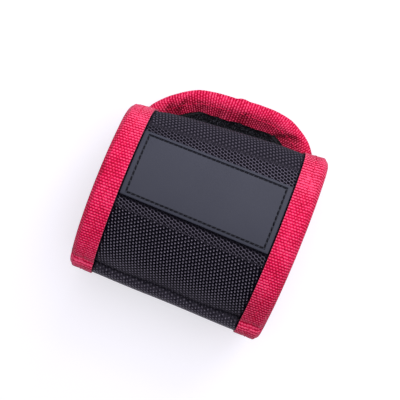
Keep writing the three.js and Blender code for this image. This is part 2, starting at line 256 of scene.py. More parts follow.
# %% A socket that can be calculated with
class Value:
    def __init__(self, tree, socket=None):
        self.tree = tree
        self.socket = socket

    def node(self, kind, settings=None, sockets=None, output=0):
        """A new node with its settings and the values or links of its sockets; gives one of its outputs."""
        made = self.tree.nodes.new(kind)
        for name, value in (settings or {}).items():
            setattr(made, name, value)
        for name, value in (sockets or {}).items():
            if isinstance(value, Value):
                self.tree.links.new(value.socket, made.inputs[name])
            else:
                made.inputs[name].default_value = value
        return Value(self.tree, made.outputs[output] if made.outputs else None)

    def other(self, output):
        """Another output of the same node."""
        return Value(self.tree, self.socket.node.outputs[output])

    def math(self, operation, *others):
        return self.node("ShaderNodeMath", {"operation": operation}, dict(enumerate((self, *others))))

    def flipped(self, operation, other):
        return self.node("ShaderNodeMath", {"operation": operation}, {0: other, 1: self})

    def __add__(self, other):
        return self.math("ADD", other)

    def __sub__(self, other):
        return self.math("SUBTRACT", other)

    def __rsub__(self, other):
        return self.flipped("SUBTRACT", other)

    def __mul__(self, other):
        return self.math("MULTIPLY", other)

    def __truediv__(self, other):
        return self.math("DIVIDE", other)

    def __pow__(self, other):
        return self.math("POWER", other)

    __radd__ = __add__
    __rmul__ = __mul__

    def wave(self):
        """Cosine of a number of turns."""
        return (self * math.tau).math("COSINE")

    def clamped(self):
        return self.math("MAXIMUM", 0.0).math("MINIMUM", 1.0)

    def rises(self, start, ease):
        """0 up to the start, then up to 1 within the ease."""
        return ((self - start) / ease).clamped()

    def falls(self, end, ease):
        """1 at first, then down within the ease to 0 at the end."""
        return ((end - self) / ease).clamped()

    def mix(self, a, b):
        """Colour a where this is 0 and colour b where it is 1."""
        return self.node("ShaderNodeMix", {"data_type": "RGBA"}, {0: self, 6: a, 7: b}, output=2)


def color(red, green, blue):
    return (red, green, blue, 1.0)


def surface(name, paint):
    """A material whose paint function gives the Principled sockets."""
    material = bpy.data.materials.new(name)
    material.use_nodes = True
    tree = material.node_tree
    tree.nodes.clear()
    start = Value(tree)
    shader = start.node("ShaderNodeBsdfPrincipled", sockets=paint(start))
    start.node("ShaderNodeOutputMaterial", sockets={"Surface": shader})
    return material


def across_and_along(start):
    """The two coordinates of a piece's flat cut, in millimetres."""
    flat = start.node("ShaderNodeUVMap", {"uv_map": "cut"})
    across = start.node("ShaderNodeSeparateXYZ", sockets={0: flat})
    return across, across.other(1)


def spots(start, scale, detail=2.0):
    """Smooth noise from 0 to 1 over the object, with `scale` lumps in a metre."""
    where = start.node("ShaderNodeTexCoord", output=3)
    return start.node("ShaderNodeTexNoise", sockets={"Vector": where, "Scale": scale, "Detail": detail})


def raised(start, height, distance):
    """A bumpy normal, for a height from 0 to 1 that stands for a distance."""
    return start.node("ShaderNodeBump", sockets={"Height": height, "Distance": distance})


# %% Floor, world and lamps
FLOOR_SIDE = 40.0
BACKDROP_HEIGHT = 8.0
FLOOR_TONE = color(0.585, 0.575, 0.640)
FLOOR_LIFT = 0.50
WORLD_LIGHT = color(0.10, 0.10, 0.11)
LAMP_TINT = (0.98, 0.96, 1.0)
WHITE = color(1.0, 1.0, 1.0)
BLACK = color(0.0, 0.0, 0.0)


def corners(geometry):
    """The vertices among what a bmesh operation gives back."""
    return [one for one in geometry if isinstance(one, bmesh.types.BMVert)]


floor_shape = bmesh.new()
bmesh.ops.create_grid(floor_shape, x_segments=1, y_segments=1, size=FLOOR_SIDE / 2)
rim = bmesh.ops.extrude_edge_only(floor_shape, edges=floor_shape.edges[:])["geom"]
bmesh.ops.translate(floor_shape, verts=corners(rim), vec=(0, 0, BACKDROP_HEIGHT))
floor_mesh = bpy.data.meshes.new("floor")
floor_shape.to_mesh(floor_mesh)
floor_shape.free()
floor = bpy.data.objects.new("floor", floor_mesh)
bpy.context.scene.collection.objects.link(floor)


def seen_directly(start):
    """1 for camera, glossy and transmission rays, 0 for the rays that carry light to other surfaces."""
    camera_ray = start.node("ShaderNodeLightPath")
    glossy, clear = camera_ray.other("Is Glossy Ray"), camera_ray.other("Is Transmission Ray")
    return (camera_ray + glossy + clear).clamped()


def paint_floor(start):
    return {
        "Base Color": FLOOR_TONE,
        "Roughness": 1.0,
        "Specular IOR Level": 0.0,
        "Emission Color": seen_directly(start).mix(BLACK, WHITE),
        "Emission Strength": FLOOR_LIFT,
    }


floor_mesh.materials.append(surface("white_floor", paint_floor))

world = bpy.data.worlds.new("studio")
bpy.context.scene.world = world
world.use_nodes = True
world.node_tree.nodes.clear()
sky = Value(world.node_tree)
glow = sky.node("ShaderNodeBackground", sockets={"Color": WORLD_LIGHT})
sky.node("ShaderNodeOutputWorld", sockets={"Surface": glow})


def softbox(name, place_m, size, power):
    """A square area lamp that faces the band."""
    light = bpy.data.lights.new(name, "AREA")
    light.color = LAMP_TINT
    light.energy = power
    light.size = size
    lamp = bpy.data.objects.new(name, light)
    lamp.location = place_m
    lamp.rotation_euler = (AIM - Vector(place_m)).to_track_quat("-Z", "Y").to_euler()
    bpy.context.scene.collection.objects.link(lamp)


softbox("overhead", place_m=(0.10, 0.25, 0.90), size=1.3, power=11.8)
softbox("window", place_m=(0.20, 0.90, 0.50), size=0.6, power=5.0)
bpy.context.scene.view_settings.view_transform = "Standard"
print("stage: white floor, a softbox overhead and a window")

# %% [markdown]
# ## Finishes
#
# The shell is a heavy coated nylon. Its yarns cross in a lattice of round crowns about a millimetre and a
# half apart, a little off the band's own direction. Three waves along the lattice's directions add up to such
# crowns. The gaps between them stay nearly black and the crowns shine, so the cloth shows bright dots. Beside
# the badge the coating is rubbed and shines as a grey mesh, and on the far bend it is dull. A painted haze
# lightens the cloth about the crease at the near bend, over the rubbed zone and on the far bend, where its
# dots are painted lighter too. Painted shade darkens the crease line, a strip beside each tape and a band
# along the badge's lower edge. The zones are measured on the flat cut, so they stay with the cloth.

# %% Nylon
# The three waves of the weave, in turns per millimetre across and along, and how strong the third one is
WEAVE = ((0.713, 0.186), (0.352, -0.566), (0.361, 0.752))
THIRD_WAVE = 1.3
# Where the crease and the badge lie, which the zones follow
CREASE_PLACE = -36.4 * MM
CREASE_DRIFT = 0.018
CREASE_WAVE = 0.5 * MM
CREASE_WAVE_LENGTH = 37 * MM
CREASE_WAVE_SHIFT = 4 * MM
BADGE_OFFSET = 13.3 * MM
BADGE_LENGTH = 28 * MM
BADGE_TURN = 0.045
# Zones of the shell, in millimetres on its cut: half the width clear of the painted shade beside the tapes,
# widths of the painted shade below the badge, of the rubbed zone and of the painted shade at the crease, and
# places along the strip
TAPE_SHADE_FROM = 33.4
BADGE_SHADE_WIDTH = 1.9
RUBBED_WIDTH = 6.0
CREASE_SHADE_WIDTH = 1.2
RUBBED_TO = 56
CREST_FROM, CREST_TO = 33.5, 62
HAZE_FROM, HAZE_TO = -58, -28


def zones(across, along):
    """Each from 0 to 1: clear of the painted shade at the tapes and the crease, near the badge, on the far
    crest, rubbed, and under the painted haze.
    """
    wave = ((across + CREASE_WAVE_SHIFT / MM) / (CREASE_WAVE_LENGTH / MM)).wave() * (CREASE_WAVE / MM)
    from_crease = wave + across * CREASE_DRIFT + CREASE_PLACE / MM - along
    # Painted shade along the crease line.
    pressed = from_crease.math("ABSOLUTE").falls(CREASE_SHADE_WIDTH, CREASE_SHADE_WIDTH) * 0.8
    # Painted shade: the cloth goes dark in a strip beside each tape, and along the crease.
    unshaded_cloth = across.math("ABSOLUTE").falls(TAPE_SHADE_FROM, 0.5) * (1 - pressed)
    below = (BADGE_OFFSET - BADGE_LENGTH / 2) / MM - across * BADGE_TURN - along
    # Painted shade in a band along the badge's lower edge.
    badge_shade = below.falls(BADGE_SHADE_WIDTH, 0.9) * below.rises(-2, 1) * 0.9
    near_badge = below.falls(RUBBED_WIDTH, 0.8) * along.falls(RUBBED_TO, 6)
    crest = along.rises(CREST_FROM, 2.5) * along.falls(CREST_TO, 6)
    rubbed = near_badge * (1 - crest) * (1 - badge_shade)
    # Painted haze that lightens the cloth about the crease at the near bend.
    hazy = along.falls(HAZE_TO, 8) * along.rises(HAZE_FROM, 8) * unshaded_cloth
    return unshaded_cloth, near_badge, crest, rubbed, hazy


def paint_nylon(start):
    across, along = across_and_along(start)
    waves = [(across * a + along * b).wave() for a, b in WEAVE]
    reach = 2 + THIRD_WAVE
    pit = ((waves[0] + waves[1] + waves[2] * THIRD_WAVE + reach / 2) / (1.5 * reach)).clamped()
    unshaded_cloth, near_badge, crest, rubbed, hazy = zones(across, along)
    dots = pit.rises(0.38, 0.25) * (spots(start, 60) * 0.5 + 0.75) * unshaded_cloth
    bright_dots = dots * (1 - near_badge * 0.96) * (1 - hazy * 0.20)
    mesh = (1 - pit * 3.4).clamped() * unshaded_cloth * rubbed * (0.48 - (along / 20).clamped() * 0.16)
    shine = bright_dots + mesh
    grains = (spots(start, 650, 3.0) * 5 - 1.5).clamped() * 1.1 + 0.35
    # Painted haze: the colour between the crowns is lifted about the near crease, over the rubbed zone and on
    # the far crest.
    painted_haze = (hazy * grains * 0.6 + rubbed * 0.25 + crest * 0.38) * (1 - pit * 1.8).clamped()
    ground = painted_haze.mix(color(0.0007, 0.0004, 0.0032), color(0.040, 0.036, 0.050))
    return {
        # On the far crest the dots are painted lighter too, a painted sheen.
        "Base Color": (shine + dots * crest * 0.72).clamped().mix(ground, color(0.140, 0.126, 0.163)),
        "Metallic": (shine * 3).clamped(),
        "Roughness": 0.24 + pit * 0.22 + crest * 0.45,
        "Normal": raised(start, (1 - pit) ** 0.5, 0.50 * MM),
        "Specular IOR Level": 0.04,
        "Specular Tint": color(0.95, 0.90, 1.0),
    }


nylon = surface("coated_nylon", paint_nylon)
print(f"nylon: {len(WEAVE)} waves, creased at {CREASE_PLACE / MM:.0f} mm")

# %% [markdown]
# The tape is a ribbed ribbon. A rib wave and a wave of dots, broken by noise, make its yarns: crimson in the
# hollows and pink on the crowns. A painted sheen makes it paler on both upper bends. A vertex attribute,
# where positive, darkens it with dirt and painted shade and gives its crowns a stronger painted highlight;
# where negative, a painted light makes it paler. The lining is a mesh with rows of holes.

# %% Tape and lining
RIB_PITCH = 1.18
DOT_PITCH = 1.33
MESH_PITCH = 2.6
# Where the painted sheen on the upper bends lies: beyond a place on the far and the near side, above a height
FAR_SHEEN_FROM = 10 * MM
NEAR_SHEEN_TO = -41 * MM
SHEEN_ABOVE = 20 * MM


def bend_sheen(start):
    """1 on both upper bends, where a painted sheen makes the tape paler, and 0 elsewhere."""
    where = start.node("ShaderNodeTexCoord", output=3)
    parts = start.node("ShaderNodeSeparateXYZ", sockets={0: where})
    y, z = parts.other(1), parts.other(2)
    bends = y.rises(FAR_SHEEN_FROM, 14 * MM) + y.falls(NEAR_SHEEN_TO, 4 * MM)
    return bends * z.rises(SHEEN_ABOVE, 10 * MM)


def paint_tape(start):
    across, along = across_and_along(start)
    rib = (along / RIB_PITCH).wave()
    dots = (across / DOT_PITCH).wave() * (along / (2 * RIB_PITCH)).wave()
    weave = rib * 0.40 + dots * 0.34 + 0.5
    selvedge = across.falls(0.7, 0.5) * (rib * 0.5 + 0.5)
    uneven = spots(start, 110, 3.0)
    fleck = spots(start, 900)
    yarn = (weave + fleck * 1.2 + uneven * 1.1 - 1.2).clamped()
    # The vertex attribute: dirt and painted shade where positive, painted light where negative.
    soil_and_shading = start.node("ShaderNodeAttribute", {"attribute_name": "soil_and_shading"}, output=2)
    # Painted sheen on the upper bends and the painted light of the attribute pale the crowns.
    painted_light = bend_sheen(start) * 0.75 + (soil_and_shading * -2).clamped()
    # Where the attribute is positive, the crowns get a stronger painted highlight.
    crown = ((yarn - 0.55) * (soil_and_shading.clamped() * 6 + 2.2) + selvedge + painted_light).clamped()
    body = (yarn * 1.6).clamped().mix(color(0.44, 0.0, 0.028), color(0.88, 0.0, 0.088))
    clean = (crown * 0.75).mix(body, color(1.0, 0.12, 0.25))
    # Darkening from the attribute: dirt and painted shade.
    darkening = (soil_and_shading.clamped() * (uneven + 0.3) * (1.9 - yarn * 1.4)).clamped()
    return {
        "Base Color": darkening.mix(clean, color(0.19, 0.0, 0.013)),
        "Roughness": 0.75 - weave * 0.20,
        "Normal": raised(start, weave, 0.22 * MM),
        "Specular IOR Level": 0.12,
        "Sheen Weight": 0.28,
        "Sheen Roughness": 0.30,
        "Sheen Tint": color(1.0, 0.55, 0.66),
    }


def paint_lining(start):
    across, along = across_and_along(start)
    rows = ((across / MESH_PITCH).wave() * (along / MESH_PITCH).wave() + 1) / 2
    hole = rows.rises(0.68, 0.2)
    fuzz = spots(start, 2500)
    return {
        "Base Color": hole.mix(color(0.040, 0.040, 0.046), color(0.006, 0.006, 0.008)),
        "Roughness": 0.9,
        "Normal": raised(start, fuzz * 0.3 - hole, 0.35 * MM),
        "Sheen Weight": 0.3,
        "Sheen Roughness": 0.5,
    }


tape = surface("binding_tape", paint_tape)
lining = surface("spacer_mesh", paint_lining)
print(f"tape: ribs {RIB_PITCH} mm apart, lining: holes {MESH_PITCH} mm apart")

# %% [markdown]
# The other finishes are plainer: noise gives the rubber its grain, the hook tape its specks, the loop tape
# its pile, the foam its cells and the nickel its rubbed marks. The thread's twist is one slanted wave.


# %% Rubber, thread, hook and loop, foam, nickel
def paint_rubber(start):
    grain = spots(start, 2200, 3.0)
    wear = spots(start, 45)
    return {
        "Base Color": wear.mix(color(0.0265, 0.029, 0.0465), color(0.0365, 0.0395, 0.0595)),
        "Roughness": 0.50 + grain * 0.15,
        "Normal": raised(start, grain, 0.04 * MM),
        "Specular IOR Level": 0.3,
    }


def paint_thread(dark, light):
    def paint(start):
        across, along = across_and_along(start)
        ply = ((across * 1.1 + along * 0.9).wave() + 1) / 2
        return {
            "Base Color": ply.mix(dark, light),
            "Roughness": 0.6,
            "Normal": raised(start, ply, 0.08 * MM),
            "Specular IOR Level": 0.2,
        }

    return paint


def paint_hook(start):
    specks = spots(start, 1700).rises(0.50, 0.2)
    return {
        "Base Color": specks.mix(color(0.002, 0.002, 0.004), color(0.075, 0.074, 0.092)),
        "Roughness": 0.45 + specks * 0.3,
        "Normal": raised(start, specks, 0.15 * MM),
        "Specular IOR Level": 0.15,
    }


def paint_loop(start):
    fuzz = spots(start, 1800, 6.0)
    return {
        "Base Color": fuzz.mix(color(0.004, 0.004, 0.005), color(0.026, 0.026, 0.030)),
        "Roughness": 1.0,
        "Normal": raised(start, fuzz, 0.45 * MM),
        "Sheen Weight": 0.4,
        "Sheen Roughness": 0.6,
    }


def paint_foam(start):
    cells = spots(start, 1500, 5.0)
    return {
        "Base Color": cells.mix(color(0.05, 0.05, 0.055), color(0.12, 0.12, 0.13)),
        "Roughness": 0.95,
        "Normal": raised(start, cells, 0.3 * MM),
    }


def paint_nickel(start):
    rubbed = spots(start, 700)
    return {
        "Base Color": rubbed.mix(color(0.50, 0.50, 0.50), color(0.62, 0.61, 0.59)),
        "Metallic": 1.0,
        "Roughness": 0.18 + rubbed * 0.16,
        "Normal": raised(start, rubbed, 0.01 * MM),
    }


rubber = surface("moulded_rubber", paint_rubber)
red_thread = surface("red_thread", paint_thread(color(0.60, 0.0, 0.045), color(0.92, 0.02, 0.12)))
black_thread = surface("black_thread", paint_thread(color(0.001, 0.001, 0.003), color(0.010, 0.009, 0.016)))
hook_plastic = surface("hook_tape", paint_hook)
loop_pile = surface("loop_tape", paint_loop)
foam = surface("soft_foam", paint_foam)
nickel = surface("nickel_plate", paint_nickel)
print("finishes:", ", ".join(sorted(material.name for material in bpy.data.materials)))

# %% [markdown]
# ## Cutting and wrapping cloth
#
# A layer starts as a flat grid the size of its cut, is extruded to its thickness, and its flat coordinates
# become its UV map before it is bent. The weave is then printed on the cloth, not projected on the shape.

# %% Helpers for pieces
STEP = 1.2 * MM
CELL = 1.5 * MM
SHARP_ANGLE = math.radians(50)


def piece(name, shape, material):
    """A finished object from a bmesh whose vertices are in place."""
    mesh = bpy.data.meshes.new(name)
    shape.to_mesh(mesh)
    shape.free()
    mesh.materials.append(material)
    mesh.shade_smooth()
    mesh.set_sharp_from_angle(angle=SHARP_ANGLE)
    made = bpy.data.objects.new(name, mesh)
    bpy.context.scene.collection.objects.link(made)
    return made


def flat_grid(wide, long, x_range, y_range):
    """A flat grid over two ranges, divided into cells of at most `wide` by `long`."""
    shape = bmesh.new()
    (x0, x1), (y0, y1) = x_range, y_range
    columns = math.ceil((x1 - x0) / wide)
    rows = math.ceil((y1 - y0) / long)
    bmesh.ops.create_grid(shape, x_segments=columns, y_segments=rows, size=1)
    for vertex in shape.verts:
        vertex.co.x = x0 + (vertex.co.x + 1) / 2 * (x1 - x0)
        vertex.co.y = y0 + (vertex.co.y + 1) / 2 * (y1 - y0)
    return shape


def thicken(shape, low, high):
    """Makes a flat grid a closed slab between two levels."""
    bmesh.ops.translate(shape, verts=shape.verts, vec=(0, 0, low))
    lifted = bmesh.ops.extrude_face_region(shape, geom=shape.faces[:])["geom"]
    bmesh.ops.translate(shape, verts=corners(lifted), vec=(0, 0, high - low))
    bmesh.ops.recalc_face_normals(shape, faces=shape.faces)


def print_cut(shape):
    """Writes the flat coordinates, in millimetres, to the UV map."""
    cut = shape.loops.layers.uv.new("cut")
    for face in shape.faces:
        for corner in face.loops:
            corner[cut].uv = corner.vert.co.xy / MM


def wrap(shape, relief=None, turn=0.0):
    """Bends a flat shape round the wrist. relief lifts it by u and s, and turn slants it on the band."""
    for vertex in shape.verts:
        u, s, v = vertex.co
        s -= turn * u
        vertex.co = place(u, s, v + (relief(u, s) if relief else 0.0))


def lay(name, shape, material, relief=None):
    """A piece from a flat shape: its cut is printed, then it is bent round the wrist."""
    print_cut(shape)
    wrap(shape, relief)
    made = piece(name, shape, material)
    return made


def bisect(shape, point, direction, **options):
    """Cuts the faces of a shape along a plane."""
    everything = shape.verts[:] + shape.edges[:] + shape.faces[:]
    return bmesh.ops.bisect_plane(shape, geom=everything, plane_co=point, plane_no=direction, **options)


def smooth_step(t):
    t = min(1.0, max(0.0, t))
    return t * t * (3 - 2 * t)


def ramp(value, start, end):
    return smooth_step((value - start) / (end - start))


def bell(distance, width):
    return math.exp(-((distance / width) ** 2))


def between(knots, x):
    """Height of a line drawn through the knots."""
    for (x0, y0), (x1, y1) in zip(knots, knots[1:]):
        if x0 <= x <= x1:
            return y0 + (y1 - y0) * (x - x0) / (x1 - x0)
    return 0.0


joints = {(joint["parent"], joint["child"]): joint for joint in frame["joints"]}


def across_fold(made, parent, child, start, end):
    """Works out a fold's axis and chord between two distances round the band but uses neither; only bakes the
    piece's transform.
    """
    axis = Vector(joints[parent, child]["axis"]).normalized()
    first, last = place(0, start, 0), place(0, end, 0)
    chord = last - first
    chord -= axis * chord.dot(axis)
    first + chord
    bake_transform(made)


# Each stretch of the strip that crosses one fold: its name, where it is cut, its two bodies and its bend
panel_split = BADGE_OFFSET
runs = {
    "near_upper": (near_split, panel_split, "panel", "near_wall", *bend(near_half, UPPER)),
    "near_lower": (back_split, near_split, "near_wall", "back_strap", *bend(near_half, LOWER)),
    "far_upper": (panel_split, far_split, "panel", "far_wall", *bend(far_half, UPPER)),
    "far_lower": (far_split, far_end, "far_wall", "loop_end", *bend(far_half, LOWER)),
}
TONGUE_BEND = 4 * MM
tongue_run = ("back_strap", "tongue", tongue_fold + TONGUE_BEND, tongue_fold - TONGUE_BEND)
print("runs:", ", ".join(runs), "and the tongue")

# %% [markdown]
# ## Depth and relief
#
# Foam fills the crown and the walls, and stops at the lower bends, so the lining comes up to the shell there.
# Worn cloth isn't even: it ripples a little everywhere, and at the near bend, where the band is pressed down,
# it has creased. The crease runs slightly off the bend. At the far bend the shell stands out between the
# bindings.

# %% Levels and relief
PADDED_DEPTH = FOAM + 2 * LAYER_GAP
RIPPLE = 0.22 * MM
RIPPLE_LENGTH = 28 * MM
CREASE_DEPTH = 0.8 * MM
CREASE_END_DEPTH = 0.9 * MM
CREASE_WIDTH = 1.3 * MM
SHOULDER_DEPTH = 1.1 * MM
SHOULDER_FALL = 7.0 * MM
SHOULDER_RISE = 2.5 * MM
ROLL_HEIGHT = 0.9 * MM
ROLL_PLACE = 7.0 * MM
ROLL_WIDTH = 5.0 * MM
BULGE_FROM, BULGE_FULL, BULGE_EASES, BULGE_TO = 31 * MM, 45 * MM, 52 * MM, 68 * MM
# How far the cloth stands out at the far bend: place along the wrist and lift, mm
BULGE = (
    (-46, -0.7), (-35, -0.3), (-27, 0.9), (-18, 1.3), (0, 1.5), (14, 1.7), (23, 1.7), (31, 1.2), (35, 0.8),
    (46, 1.0),
)


def past_walls(s):
    """0 on the crown and the walls, 1 beyond the lower bends."""
    half = near_half if s < 0 else far_half
    return ramp(abs(s), half[LOWER][0], half[BACK][0])


def lining_top(s):
    """Level of the lining's outer face."""
    return -PADDED_DEPTH + past_walls(s) * (PADDED_DEPTH - LAYER_GAP)


def ripple(u, s):
    return RIPPLE * (1 - past_walls(s)) * noise.noise(Vector((u, s, 0)) / RIPPLE_LENGTH)


def crease(u, s):
    """The pressed line at the near bend, deepest near the bindings, the fall to it and the roll beyond it."""
    wave = CREASE_WAVE * math.cos(math.tau * (u + CREASE_WAVE_SHIFT) / CREASE_WAVE_LENGTH)
    past = CREASE_PLACE + CREASE_DRIFT * u + wave - s
    depth = CREASE_DEPTH + CREASE_END_DEPTH * (u / half_width) ** 2
    fall = SHOULDER_DEPTH * bell(past, SHOULDER_FALL if past < 0 else SHOULDER_RISE)
    return ROLL_HEIGHT * bell(past - ROLL_PLACE, ROLL_WIDTH) - depth * bell(past, CREASE_WIDTH) - fall


def bulge(u, s):
    """How far the shell stands out at the far bend."""
    window = ramp(s, BULGE_FROM, BULGE_FULL) * (1 - ramp(s, BULGE_EASES, BULGE_TO))
    return between(BULGE, u / MM) * MM * window


def worn(u, s):
    return ripple(u, s) + crease(u, s) + bulge(u, s)


def tongue_half(s, inset):
    """Half the tongue's width at a distance, for an outline inside its bound edge."""
    radius = TONGUE_CORNER_RADIUS - inset
    past = max(0.0, -s - (near_end - inset - radius))
    return half_width - inset - radius + math.sqrt(max(0.0, radius**2 - past**2))


def narrow_tongue(shape, half, inset):
    """Draws a flat grid of the given half width in to the tongue's round outline."""
    for vertex in shape.verts:
        vertex.co.x *= tongue_half(vertex.co.y, inset) / half


print(f"crease {CREASE_DEPTH / MM:.1f} mm deep, foam {FOAM / MM:.1f} mm")

# %% [markdown]
# ## Shell and lining
#
# Each run is one strip of nylon and one of spacer mesh. The runs meet on flat stretches and under the badge,
# where no seam shows.

# %% Shell
FOLD_ROOM = 1.2 * MM
CLOTH_INSET = TAPE + LAYER_GAP + FOLD_ROOM
cloth_half = half_width - CLOTH_INSET
stands_for = {
    "near_upper": ("panel", "near_wall"),
    "near_lower": ("back_strap",),
    "far_upper": ("far_wall",),
    "far_lower": ("loop_end",),
}


def lining_relief(u, s):
    return lining_top(s) + ripple(u, s)


# Each layer of a run: the kind of node it stands for, slot, cell, lower and upper level, relief and finish
LINING_CELL = 1.8 * MM
LAYERS = {
    "outside": ("shell", "nylon", CELL, 0, NYLON, worn, nylon),
    "inside": ("lining", "lining", LINING_CELL, -LINING, 0, lining_relief, lining),
}
for name, (start, end, *fold) in runs.items():
    stop = end - CLOTH_INSET if name == "far_lower" else end
    for layer, (kind, slot, cell, low, high, relief, material) in LAYERS.items():
        shape = flat_grid(cell, STEP, (-cloth_half, cloth_half), (start, stop))
        thicken(shape, low, high)
        cloth = lay(f"{name}_{layer}", shape, material, relief)
        across_fold(cloth, *fold)
        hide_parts(*(f"{body}_{kind}" for body in stands_for[name]))
        stop - start
    print(f"{name}: {(stop - start) / MM:.0f} mm of shell and lining")

# %% Tongue cloth
tongue_stop = -(near_end - CLOTH_INSET)


def tongue_cloth(name, node, low, high, material):
    shape = flat_grid(CELL, STEP, (-cloth_half, cloth_half), (tongue_stop, back_split))
    narrow_tongue(shape, cloth_half, CLOTH_INSET)
    thicken(shape, low, high)
    flat_area = sum(face.calc_area() for face in shape.faces if face.normal.z > 0.9)
    made = lay(name, shape, material, ripple)
    across_fold(made, *tongue_run)
    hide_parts(node)
    size = (2 * cloth_half, back_split - tongue_stop)


tongue_cloth("tongue_outside", "tongue_shell", 0, NYLON, nylon)
tongue_cloth("tongue_inside", "tongue_lining", -LAYER_GAP - LINING, -LAYER_GAP, lining)
print("tongue: shell and lining with a round end")

# %% [markdown]
# ## Binding tape
#
# The tape is a flat ribbon folded over the edge and sewn through, so it is modelled as that: a grid as wide
# as the whole ribbon, whose middle goes round the edge in a half ellipse and whose two legs lie on the shell
# and the lining. Along the sewing line the tape is pulled in. The tape is soiled in random patches and darker
# along one stretch of its forearm edge; past the crease on the hand edge a painted light makes it paler.
# Round the tongue the legs have less room than the fold, so they pucker, more and more towards their free
# edge.

# %% Tape section
FOLD_SHARE = 0.26
FOLD_REACH = 2.0 * MM
TAPE_COLUMNS = 44
SEAM_INSET = 6.0 * MM
SEAM_PULL = 0.22 * MM
SEAM_PULL_WIDTH = 0.9 * MM
TAPE_BODY = 0.7 * MM
TAPE_STRETCH = 0.8


def tape_section(x, depth, width):
    """Inset from the edge and level of a ribbon's middle, its outward direction, and the way across it.
    x goes from -1, the free edge on the shell, to 1, the free edge on the lining. The way is counted from the
    nearer free edge."""
    outer = binding_top - TAPE / 2
    inner = depth - LINING - LAYER_GAP - TAPE / 2
    centre, reach = (outer + inner) / 2, (outer - inner) / 2
    side = -1 if x < 0 else 1
    full_leg = width - FOLD_REACH - TAPE / 2
    if abs(x) <= FOLD_SHARE:
        angle = x / FOLD_SHARE * quarter
        inset = FOLD_REACH * (1 - math.cos(angle)) + TAPE / 2
        out = Vector((-math.cos(angle) / FOLD_REACH, -math.sin(angle) / reach)).normalized()
        return inset, centre - reach * math.sin(angle), out, full_leg + reach * (quarter - abs(angle))
    leg = (abs(x) - FOLD_SHARE) / (1 - FOLD_SHARE) * full_leg
    inset = FOLD_REACH + TAPE / 2 + leg
    pull = SEAM_PULL * bell(inset - SEAM_INSET, SEAM_PULL_WIDTH)
    level = centre - side * (reach - pull)
    return inset, level, Vector((0, -side)), full_leg - leg


def nowhere(run, inset):
    return 0.0


def fold_tape(
    name, edge, span, relief, depth_at, gather=nowhere, soil_and_shading=nowhere, step=1.0 * MM, width=BINDING_WIDTH
):
    """Ribbon folded over an edge. edge gives u, s and the outward direction at a distance along the edge,
    gather how far a point of the ribbon is drawn towards the edge, and the soiling function how much dirt and
    painted shade darken each point, and, where negative, how much painted light pales it."""
    start, end = span
    shape = flat_grid(2 / TAPE_COLUMNS, step, (-1, 1), (start, end))
    thicken(shape, -TAPE_BODY / 2, TAPE_BODY / 2)
    cut = shape.loops.layers.uv.new("cut")
    for face in shape.faces:
        for corner in face.loops:
            x, run, _ = corner.vert.co
            stretch = 1 + TAPE_STRETCH * slope * edge(run)[0]
            corner[cut].uv = (tape_section(x, depth_at(run), width)[3] / MM, run * stretch / MM)
    soil_and_shading_layer = shape.verts.layers.float.new("soil_and_shading")
    for vertex in shape.verts:
        x, run, w = vertex.co
        u, s, out_u, out_s = edge(run)
        inset, level, out, _ = tape_section(x, depth_at(run), width)
        vertex[soil_and_shading_layer] = soil_and_shading(run, inset)
        inset -= out.x * w + gather(run, inset)
        level += out.y * w + relief(run, inset, x)
        vertex.co = place(u - out_u * inset, s - out_s * inset, level)
    bmesh.ops.recalc_face_normals(shape, faces=shape.faces)
    made = piece(name, shape, tape)
    return made


def side_edge(side):
    return lambda run: (side * half_width, run, side, 0)


# %% Sewing thread
STITCH_PITCH = 3.0 * MM
STITCH_LENGTH = 2.5 * MM
STITCH_RADIUS = 0.24 * MM


def stitch(shape, u, s, v, angle, length=STITCH_LENGTH, radius=STITCH_RADIUS):
    """One stitch, laid flat: a slim ball along the sewing line."""
    stretch = Matrix.Diagonal((radius, length / 2, radius, 1))
    lie = Matrix.Translation((u, s, v)) @ Matrix.Rotation(angle, 4, "Z") @ stretch
    bmesh.ops.create_uvsphere(shape, u_segments=6, v_segments=6, radius=1, matrix=lie)


def sew(name, edge, span, depth_at, relief):
    """A row of stitches on each leg of a binding."""
    shape = bmesh.new()
    start, end = span
    count = int((end - start) / STITCH_PITCH)
    for i in range(count):
        run = start + (i + 0.5) * (end - start) / count
        u, s, out_u, out_s = edge(run)
        outer = binding_top - SEAM_PULL + STITCH_RADIUS / 3 + relief(run, SEAM_INSET, -1)
        inner = depth_at(run) - LINING - LAYER_GAP - TAPE + SEAM_PULL - STITCH_RADIUS / 3
        inner += relief(run, SEAM_INSET, 1)
        angle = math.atan2(out_s, out_u)
        for level in (outer, inner):
            stitch(shape, u - out_u * SEAM_INSET, s - out_s * SEAM_INSET, level, angle)
    return lay(name, shape, red_thread)


# %% Bindings of the runs
EDGES = {"hand": -1, "forearm": 1}
TAPE_CREASE = 0.7
